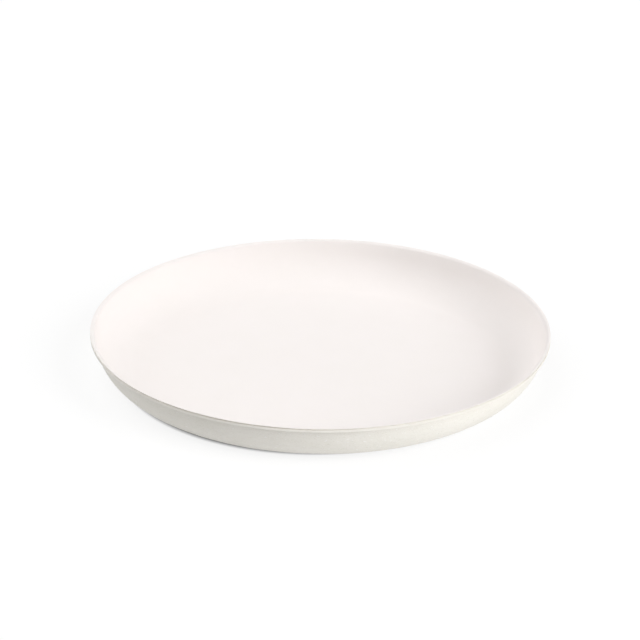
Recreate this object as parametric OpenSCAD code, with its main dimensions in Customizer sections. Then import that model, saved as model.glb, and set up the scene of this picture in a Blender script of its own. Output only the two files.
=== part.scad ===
// Shallow round plate, moulded in one piece from white paper fibre

/* [Plate] */
// Diameter across the trimmed rim
rim_d = 230; // [120:1:320]
// Height from the table to the top of the rim
plate_h = 22; // [20:0.5:45]
// Thickness of the moulded fibre
wall = 1.2; // [0.8:0.1:2.2]

/* [Side] */
// Lean of the side from vertical, in degrees
side_lean = 15; // [8:1:35]
// Radius of the outside curve from the base up to the side
corner_r = 21; // [8:0.5:26]

/* [Rim] */
// Radius under the rim, where the side turns outwards
rim_bend_r = 0.5; // [0.3:0.1:3]
// Flat width from that turn out to the trimmed edge
rim_flat = 0.7; // [0.4:0.1:6]

/* [Hidden] */

// The section turns up by this angle at the base and back by it at the rim
turn = 90 - side_lean;
// Rise and reach of the two bends, on the underside of the fibre
corner_rise = corner_r * (1 - cos(turn));
corner_reach = corner_r * sin(turn);
rim_bend_rise = rim_bend_r * (1 - cos(turn));
rim_bend_reach = rim_bend_r * sin(turn);
// Straight length of the side between the bends
side_l = (plate_h - wall - corner_rise - rim_bend_rise) / sin(turn);
// Radius of the flat base that the plate stands on
base_r = rim_d / 2 - rim_flat - rim_bend_reach - side_l * cos(turn) - corner_reach;
// Facets round the plate, round its corner and round its rim's small bend
plate_fn = 120;
corner_fn = 60;
rim_fn = 24;

// Straight stretch of the section: what follows it starts at its far end
module straight(length) {
    square([length, wall]);
    translate([length, 0]) children();
}

// Part of a ring about the origin, from straight down round by angle
module ring_sector(outer_r, inner_r, angle) {
    // Each half plane taken away reaches past the ring
    reach = 2 * outer_r;
    difference() {
        circle(r = outer_r);
        circle(r = inner_r);
        translate([-reach, -reach]) square([reach, 2 * reach]);
        rotate(angle) translate([0, -reach]) square([reach, 2 * reach]);
    }
}

// Upward bend about a centre above the sheet: r is the radius of the underside
module bend_up(r, angle) {
    translate([0, r]) {
        ring_sector(r, r - wall, angle);
        rotate(angle) translate([0, -r]) children();
    }
}

// Downward bend about a centre below the sheet: r is the radius of the underside
module bend_down(r, angle) {
    translate([0, -r]) {
        mirror([0, 1]) ring_sector(r + wall, r, angle);
        rotate(-angle) translate([0, r]) children();
    }
}

// Half section of the plate, drawn from the middle of the base out to the trimmed edge
module section() {
    straight(base_r)
        bend_up(corner_r, turn, $fn = corner_fn)
        straight(side_l)
        bend_down(rim_bend_r, turn, $fn = rim_fn)
        straight(rim_flat);
}

// The whole plate, one sheet of fibre of even thickness
module plate() {
    color([0.96, 0.95, 0.93]) rotate_extrude($fn = plate_fn) section();
}

plate();
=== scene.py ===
import math

import bpy
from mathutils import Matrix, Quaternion, Vector


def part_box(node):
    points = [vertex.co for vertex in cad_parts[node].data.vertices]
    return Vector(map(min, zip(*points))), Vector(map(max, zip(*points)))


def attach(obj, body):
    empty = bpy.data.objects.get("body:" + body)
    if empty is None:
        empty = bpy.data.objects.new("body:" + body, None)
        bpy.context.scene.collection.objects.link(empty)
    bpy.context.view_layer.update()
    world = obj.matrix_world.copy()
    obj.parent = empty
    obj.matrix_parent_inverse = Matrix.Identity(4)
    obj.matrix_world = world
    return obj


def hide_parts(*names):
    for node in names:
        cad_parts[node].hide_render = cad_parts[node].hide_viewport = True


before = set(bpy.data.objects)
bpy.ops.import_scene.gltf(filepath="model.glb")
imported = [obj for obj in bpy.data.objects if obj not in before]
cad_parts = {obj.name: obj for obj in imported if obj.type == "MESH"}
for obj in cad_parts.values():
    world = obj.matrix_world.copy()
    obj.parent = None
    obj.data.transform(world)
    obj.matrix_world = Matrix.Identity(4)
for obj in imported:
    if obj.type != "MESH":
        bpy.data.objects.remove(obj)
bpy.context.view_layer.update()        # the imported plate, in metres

plateHigh = Vector(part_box("plate")[1])
hair = 1e-6              # lengths below this count as nothing


def linearColour(red, green, blue):
    # screen values 0-255 to the linear colour that a shader socket takes
    steps = [value / 255 for value in (red, green, blue)]
    return [s / 12.92 if s <= 0.04045 else ((s + 0.055) / 1.055) ** 2.4 for s in steps] + [1.0]


# Camera: a long lens a little above the table, tipped by a hair to the right
cameraSettings = {
    "distance": 1.1,
    "elevation": 24.77,
    "aim": (-0.00028, 0.0, 0.02474),   # above the plate, which sits low in the picture
    "middle": 0.012,                   # height that the distance is measured from
    "lens": 122.98,
    "roll": 0.65,
}


def makeCamera(s):
    elevation = math.radians(s["elevation"])
    back = Vector((0, -math.cos(elevation), math.sin(elevation)))
    place = Vector((0, 0, s["middle"])) + back * s["distance"]
    bpy.ops.object.camera_add(location=place)
    camera = bpy.context.object
    camera.name = "photoCamera"
    camera.data.lens = s["lens"]
    camera.data.clip_end = 50
    turn = (Vector(s["aim"]) - place).to_track_quat("-Z", "Y")
    camera.rotation_mode = "QUATERNION"
    camera.rotation_quaternion = turn @ Quaternion((0, 0, 1), math.radians(s["roll"]))
    bpy.context.scene.camera = camera
    print("camera ready")


# Plate: one closed section, drawn ring by ring from the base out, over the rim and back in
plateSettings = {
    "points": 480,            # points round each ring, a multiple of four
    "wall": 0.0012,
    "sideLean": 15.0,
    "cornerRadius": 0.021,
    "rimBendRadius": 0.0005,
    "rimFlat": 0.0007,
    "cornerRings": 26,
    "sideRings": 5,           # up to the foot of the crease
    "creaseFoot": 0.00115,    # how far below the rim's bend the crease ends
    "creaseLip": 0.00100,     # and how far below it the crease begins
    "setBack": 0.00034,       # depth of the side under the crease
    "rimBendRings": 5,
    "edgeDepth": 0.00070,     # the trimmed edge and its corners lie in this last bit
    "lumpSize": 0.005,        # relief of the rough outside
    "lumpDepth": 0.00010,
    "waveSize": 0.030,
    "waveDepth": 0.00022,
    "reliefFade": 0.004,      # both die away over this width beside the flat base
    "tearSize": 0.0035,       # ragged trimming, only ever inwards
    "tearDepth": 0.00010,
    "tornSlope": 0.9,         # faces of the edge that are more level than this stay whole
}

# trimmed edge from its burr up: depth in from the widest point, height up the sheet (0 to 1)
# a groove, undercut behind a lip, parts the torn face from the pressed skin on top
edgeShape = [(0.00040, -0.15), (0.00018, -0.42), (0.00005, -0.45), (0.0, -0.34), (0.00001, 0.10),
             (0.00006, 0.44), (0.00014, 0.49), (0.00022, 0.46), (0.00060, 0.28), (0.00065, 0.84),
             (0.00012, 0.88), (0.00006, 1.0)]


def sheetPath(s):
    # underside of the sheet from the base out to the rim: radius, height, and slope from level
    turn = math.radians(90 - s["sideLean"])
    up, out = math.sin(turn), math.cos(turn)
    corner, bend = s["cornerRadius"], s["rimBendRadius"]
    sideLength = (plateHigh.z - s["wall"] - (corner + bend) * (1 - out)) / up
    baseRadius = plateHigh.x - s["rimFlat"] - (corner + bend) * up - sideLength * out
    path = [(baseRadius, 0.0, 0.0)]
    for step in range(1, s["cornerRings"] + 1):
        slope = turn * step / s["cornerRings"]
        path.append((baseRadius + corner * math.sin(slope), corner * (1 - math.cos(slope)), slope))
    radius, height, slope = path[-1]
    plainLength = sideLength - s["creaseFoot"]
    runs = [plainLength * step / s["sideRings"] for step in range(1, s["sideRings"] + 1)]
    for run in runs + [sideLength]:
        path.append((radius + run * out, height + run * up, turn))
    radius, height, slope = path[-1]
    centre = (radius + bend * up, height - bend * out)
    for step in range(1, s["rimBendRings"] + 1):
        slope = turn * (1 - step / s["rimBendRings"])
        path.append((centre[0] - bend * math.sin(slope), centre[1] + bend * math.cos(slope), slope))
    return path


def sectionRings(s):
    path = sheetPath(s)
    wall = s["wall"]
    sideTop = s["cornerRings"] + s["sideRings"] + 1
    topRadius, topHeight, lean = path[sideTop]
    under = []
    for radius, height, slope in path[:sideTop]:
        # from nothing at the base, the side is set back more and more up to the crease
        depth = s["setBack"] * (slope / lean) ** 2
        under.append((radius - depth * math.sin(slope), height + depth * math.cos(slope)))
    under.append((topRadius - s["creaseLip"] * math.cos(lean),
                  topHeight - s["creaseLip"] * math.sin(lean)))
    under += [(radius, height) for radius, height, slope in path[sideTop:]]
    edge = [(plateHigh.x - depth, plateHigh.z - wall + share * wall) for depth, share in edgeShape]
    inside = [(radius - wall * math.sin(slope), height + wall * math.cos(slope))
              for radius, height, slope in reversed(path)]
    return under + edge + inside


def makePlate(s):
    rings = sectionRings(s)
    bpy.ops.object.select_all(action="DESELECT")
    bpy.ops.mesh.primitive_circle_add(vertices=s["points"], radius=rings[0][0], fill_type="NOTHING")
    plate = bpy.context.object
    plate.name = "moulded_plate"
    bpy.ops.object.mode_set(mode="EDIT")
    bpy.ops.mesh.select_mode(type="EDGE")
    bpy.ops.mesh.select_all(action="SELECT")
    bpy.ops.mesh.fill_grid(span=s["points"] // 4)
    selectOpenRing()
    for (radius, height), (nextRadius, nextHeight) in zip(rings, rings[1:]):
        bpy.ops.mesh.extrude_edges_move(
            TRANSFORM_OT_translate={"value": (0, 0, nextHeight - height)})
        grow = nextRadius / radius
        bpy.ops.transform.resize(value=(grow, grow, 1), center_override=(0, 0, 0))
    bpy.ops.mesh.fill_grid(span=s["points"] // 4)
    bpy.ops.mesh.select_all(action="SELECT")
    bpy.ops.mesh.remove_doubles(threshold=hair)
    bpy.ops.mesh.normals_make_consistent(inside=False)
    bpy.ops.object.mode_set(mode="OBJECT")
    print("plate drawn:", len(plate.data.polygons), "faces")
    return plate


def selectOpenRing():
    bpy.ops.mesh.select_all(action="DESELECT")
    bpy.ops.mesh.select_non_manifold(extend=False, use_wire=False, use_multi_face=False,
                                     use_non_contiguous=False, use_verts=False)


def markSurfaces(plate, s):
    # outside, inside and trimmed edge each get their own finish, and groups for their relief
    rough = plate.vertex_groups.new(name="roughOutside")
    torn = plate.vertex_groups.new(name="tornEdge")
    baseRadius = sheetPath(s)[0][0]
    for face in plate.data.polygons:
        radius = math.hypot(face.center.x, face.center.y)
        if face.center.z > plateHigh.z - hair:
            face.material_index = 1
        elif radius > plateHigh.x - s["edgeDepth"]:
            face.material_index = 2
            if abs(face.normal.z) < s["tornSlope"]:
                torn.add(list(face.vertices), 1.0, "REPLACE")
        elif face.normal.z < 0:
            face.material_index = 0
            if radius > baseRadius:      # the base itself stays pressed flat
                share = min(1.0, (radius - baseRadius) / s["reliefFade"])
                rough.add(list(face.vertices), share, "REPLACE")
        else:
            face.material_index = 1
    rough.remove([corner.index for corner in plate.data.vertices if corner.co.z < hair])


def applyModifiers(piece):
    bpy.ops.object.select_all(action="DESELECT")
    piece.select_set(True)
    bpy.context.view_layer.objects.active = piece
    for modifier in list(piece.modifiers):
        bpy.ops.object.modifier_apply(modifier=modifier.name)


def addRelief(plate, s):
    for name, group in (("wave", "roughOutside"), ("lump", "roughOutside"), ("tear", "tornEdge")):
        clouds = bpy.data.textures.new(name + "Clouds", "CLOUDS")
        clouds.noise_scale = s[name + "Size"]
        clouds.noise_depth = 2
        relief = plate.modifiers.new(name, "DISPLACE")
        relief.texture = clouds
        relief.texture_coords = "LOCAL"
        relief.mid_level = 1.0            # only ever into the sheet
        relief.strength = s[name + "Depth"]
        relief.vertex_group = group
    applyModifiers(plate)


# Finish of the fibre: pressed smooth inside, rough outside, fibrous where it was trimmed
fibreSettings = {
    "inside": {"colour": (250, 245, 243), "shade": (248, 243, 240), "speck": (246, 241, 237),
               "fleck": 0.25, "nib": 0.0, "rough": (0.82, 0.92), "bump": 0.10, "grain": 0.0005,
               "flatten": 1.0},
    "outside": {"colour": (248, 245, 239), "shade": (240, 237, 228), "speck": (226, 222, 211),
                "fleck": 0.8, "nib": 1.0, "rough": (0.78, 0.9), "bump": 0.55, "grain": 0.0011,
                "flatten": 2.5},
    "edge": {"colour": (250, 247, 241), "shade": (243, 239, 231), "speck": (236, 232, 222),
             "fleck": 0.6, "nib": 0.0, "rough": (0.85, 0.95), "bump": 0.40, "grain": 0.0007,
             "flatten": 2.0},
}

# What the three finishes share: sizes and depths of their patterns, in metres, and the band of
# each noise over which flecks and nibs come up
patternSettings = {
    "toneSize": 0.018,
    "roughSize": 0.004,
    "unevenSize": 0.003,
    "unevenDepth": 0.0003,
    "grainDepth": 0.00012,
    "fleckBand": (0.58, 0.74),
    "nibSize": 0.0020,
    "nibBand": (0.69, 0.74),
    "nibDepth": 0.0004,
    "nibColour": (255, 253, 250),
    "specular": 0.2,
}


def newMaterial(name):
    material = bpy.data.materials.new(name)
    material.use_nodes = True
    return material, material.node_tree, material.node_tree.nodes["Principled BSDF"]


def mapRange(tree, value, ends, levels):
    # the first level up to the first end, the second from the second end on
    rise = tree.nodes.new("ShaderNodeMapRange")
    rise.inputs["From Min"].default_value, rise.inputs["From Max"].default_value = ends
    rise.inputs["To Min"].default_value, rise.inputs["To Max"].default_value = levels
    tree.links.new(value, rise.inputs["Value"])
    return rise.outputs["Result"]


def fibreMaterial(name, s, pattern):
    material, tree, shader = newMaterial(name)
    nodes, links = tree.nodes, tree.links
    place = nodes.new("ShaderNodeTexCoord")
    flattened = nodes.new("ShaderNodeVectorMath")     # the fibre lies along the wall in streaks
    flattened.operation = "MULTIPLY"
    flattened.inputs[1].default_value = (1, 1, s["flatten"])
    links.new(place.outputs["Object"], flattened.inputs[0])

    def noiseAt(size, detail, distortion=0.0):
        texture = nodes.new("ShaderNodeTexNoise")
        texture.inputs["Scale"].default_value = 1 / size
        texture.inputs["Detail"].default_value = detail
        texture.inputs["Distortion"].default_value = distortion
        links.new(flattened.outputs["Vector"], texture.inputs["Vector"])
        return texture.outputs["Fac"]

    def mixColour(factor, below, colour):
        mix = nodes.new("ShaderNodeMix")
        mix.data_type = "RGBA"
        mix.inputs["B"].default_value = linearColour(*colour)
        links.new(factor, mix.inputs["Factor"])
        if isinstance(below, tuple):
            mix.inputs["A"].default_value = linearColour(*below)
        else:
            links.new(below, mix.inputs["A"])
        return mix.outputs["Result"]

    # colour: broad clouds of a second tone, small flecks of fibre, and a few pale nibs
    tone = mixColour(noiseAt(pattern["toneSize"], 3), s["colour"], s["shade"])
    flecks = mapRange(tree, noiseAt(s["grain"], 2, 1.5), pattern["fleckBand"], (0, s["fleck"]))
    tone = mixColour(flecks, tone, s["speck"])
    nibs = mapRange(tree, noiseAt(pattern["nibSize"], 1), pattern["nibBand"], (0, s["nib"]))
    tone = mixColour(nibs, tone, pattern["nibColour"])
    links.new(tone, shader.inputs["Base Color"])

    # roughness wanders a little with the fibre
    rough = mapRange(tree, noiseAt(pattern["roughSize"], 3), (0, 1), s["rough"])
    links.new(rough, shader.inputs["Roughness"])

    # bump: nibs on felted fibre, over a slow unevenness
    normal = None
    for height, depth in ((noiseAt(pattern["unevenSize"], 2), pattern["unevenDepth"]),
                          (noiseAt(s["grain"], 4, 0.8), pattern["grainDepth"]),
                          (nibs, pattern["nibDepth"])):
        bump = nodes.new("ShaderNodeBump")
        bump.inputs["Strength"].default_value = s["bump"]
        bump.inputs["Distance"].default_value = depth
        links.new(height, bump.inputs["Height"])
        if normal:
            links.new(normal, bump.inputs["Normal"])
        normal = bump.outputs["Normal"]
    links.new(normal, shader.inputs["Normal"])
    shader.inputs["Specular IOR Level"].default_value = pattern["specular"]
    return material


# Studio: soft lights from the front right, the left and behind, with a low panel in front
lightSettings = {
    "key": {"azimuth": 330.0, "elevation": 30.0, "spread": 40.0, "strength": 2.18},
    "left": {"azimuth": 180.0, "elevation": 50.0, "spread": 80.0, "strength": 2.11},
    "back": {"azimuth": 75.0, "elevation": 35.0, "spread": 60.0, "strength": 0.55},
    "panel": {"azimuth": 300.0, "distance": 0.30, "height": 0.02, "size": (0.30, 0.04),
              "power": 0.076},
}


def makeSun(name, s):
    azimuth, elevation = math.radians(s["azimuth"]), math.radians(s["elevation"])
    towards = Vector((math.cos(azimuth) * math.cos(elevation),
                      math.sin(azimuth) * math.cos(elevation), math.sin(elevation)))
    bpy.ops.object.light_add(type="SUN", location=towards * 2)
    lamp = bpy.context.object
    lamp.name = name
    lamp.rotation_mode = "QUATERNION"
    lamp.rotation_quaternion = towards.to_track_quat("Z", "Y")
    lamp.data.energy = s["strength"]
    lamp.data.angle = math.radians(s["spread"])


def makePanel(name, s):
    azimuth = math.radians(s["azimuth"])
    outward = Vector((math.cos(azimuth), math.sin(azimuth), 0))
    place = outward * s["distance"] + Vector((0, 0, s["height"]))
    nearRim = outward * plateHigh.x + Vector((0, 0, plateHigh.z / 2))
    bpy.ops.object.light_add(type="AREA", location=place)
    lamp = bpy.context.object
    lamp.name = name
    lamp.rotation_mode = "QUATERNION"
    lamp.rotation_quaternion = (place - nearRim).to_track_quat("Z", "Y")
    lamp.data.shape = "RECTANGLE"
    lamp.data.size, lamp.data.size_y = s["size"]
    lamp.data.energy = s["power"]
    lamp.visible_camera = False


def backgroundRays(tree):
    # 1 for rays from the camera, mirrors and glass, which all show the same background
    path = tree.nodes.new("ShaderNodeLightPath")
    seen = path.outputs["Is Camera Ray"]
    for kind in ("Is Glossy Ray", "Is Transmission Ray"):
        either = tree.nodes.new("ShaderNodeMath")
        either.operation = "MAXIMUM"
        tree.links.new(seen, either.inputs[0])
        tree.links.new(path.outputs[kind], either.inputs[1])
        seen = either.outputs["Value"]
    return seen


def makeSky():
    # a white background that lights nothing
    world = bpy.data.worlds.new("studioSky")
    bpy.context.scene.world = world
    world.use_nodes = True
    background = world.node_tree.nodes["Background"]
    background.inputs["Color"].default_value = (1, 1, 1, 1)
    world.node_tree.links.new(backgroundRays(world.node_tree), background.inputs["Strength"])


# Floor: the camera sees it white with a pale shadow and a thin painted contact shadow under the
# foot; the plate sees it as a light grey sheet whose glow is painted light, brightest just beside
# the plate, with painted shadow under it and on its shaded left
# each glow is two distances out from the centre, and the levels at them
floorSettings = {
    "size": 8.0,
    "paint": (0.25, 0.20),               # to the plate, to the camera
    "centre": (-0.005, -0.002, 0.0),     # the painted shadows sit a little to the plate's shaded side
    # to the camera: white beside the plate, a painted contact shadow in a thin ring under its foot
    "seenGlow": ((0.0938, 0.0966), (0.18, 0.82)),
    # to the plate: painted shadow under it, where the floor's glow dies away
    "paintedShadowUnder": ((0.0950, 0.1050), (0.05, 1.0)),
    # to the plate: painted light, brightest just beside it
    "paintedLightNear": ((0.1050, 0.1500), (1.46, 1.0)),
    "litSide": (1.0, -0.5, 0.0),         # across the floor, the way that sideGlow runs
    # to the plate: painted light on its lit right, painted shade on its shaded left
    "sideGlow": ((-0.10, 0.08), (0.337, 0.430)),
}


def makeFloor(s):
    bpy.ops.object.select_all(action="DESELECT")
    bpy.ops.mesh.primitive_plane_add(size=s["size"])
    floor = bpy.context.object
    floor.name = "studioFloor"
    material, tree, shader = newMaterial("palePaper")
    nodes, links = tree.nodes, tree.links
    shader.inputs["Roughness"].default_value = 1.0
    shader.inputs["Specular IOR Level"].default_value = 0.0
    shader.inputs["Emission Strength"].default_value = 1.0
    place = nodes.new("ShaderNodeTexCoord")
    seen = backgroundRays(tree)

    def reachOf(operation, vector):
        reach = nodes.new("ShaderNodeVectorMath")
        reach.operation = operation
        reach.inputs[1].default_value = vector
        links.new(place.outputs["Object"], reach.inputs[0])
        return reach.outputs["Value"]

    def product(one, other):
        times = nodes.new("ShaderNodeMath")
        times.operation = "MULTIPLY"
        links.new(one, times.inputs[0])
        links.new(other, times.inputs[1])
        return times.outputs["Value"]

    def mixByRay(socket):
        # A is for the light on the plate, B for the background
        mix = nodes.new("ShaderNodeMix")
        mix.data_type = "RGBA"
        links.new(seen, mix.inputs["Factor"])
        links.new(mix.outputs["Result"], shader.inputs[socket])
        return mix.inputs["A"], mix.inputs["B"]

    for paint, shade in zip(mixByRay("Base Color"), s["paint"]):
        paint.default_value = (shade, shade, shade, 1)
    away = reachOf("DISTANCE", s["centre"])
    across = reachOf("DOT_PRODUCT", s["litSide"])
    # painted shadow under the plate and painted light just beside it, in the glow that lights the
    # plate
    ring = product(mapRange(tree, away, *s["paintedShadowUnder"]), mapRange(tree, away, *s["paintedLightNear"]))
    toPlate, toCamera = mixByRay("Emission Color")
    # the painted light is brighter on the plate's lit side, the painted shade on its shaded side
    links.new(product(ring, mapRange(tree, across, *s["sideGlow"])), toPlate)
    # the camera sees a painted contact shadow under the foot, on top of the floor's real pale
    # shadow
    links.new(mapRange(tree, away, *s["seenGlow"]), toCamera)
    floor.data.materials.append(material)


makeCamera(cameraSettings)

plate = makePlate(plateSettings)
for part in ("outside", "inside", "edge"):
    material = fibreMaterial(part + "Fibre", fibreSettings[part], patternSettings)
    plate.data.materials.append(material)
markSurfaces(plate, plateSettings)
addRelief(plate, plateSettings)
plate.data.shade_smooth()
bpy.ops.object.shade_smooth_by_angle(angle=math.radians(35))
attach(plate, "root")
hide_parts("plate")
print("plate ready:", len(plate.data.polygons), "faces")

makeSun("keyLight", lightSettings["key"])
makeSun("leftLight", lightSettings["left"])
makeSun("backLight", lightSettings["back"])
makePanel("lowPanel", lightSettings["panel"])
makeSky()
makeFloor(floorSettings)
bpy.context.scene.view_settings.view_transform = "Standard"
print("studio ready")
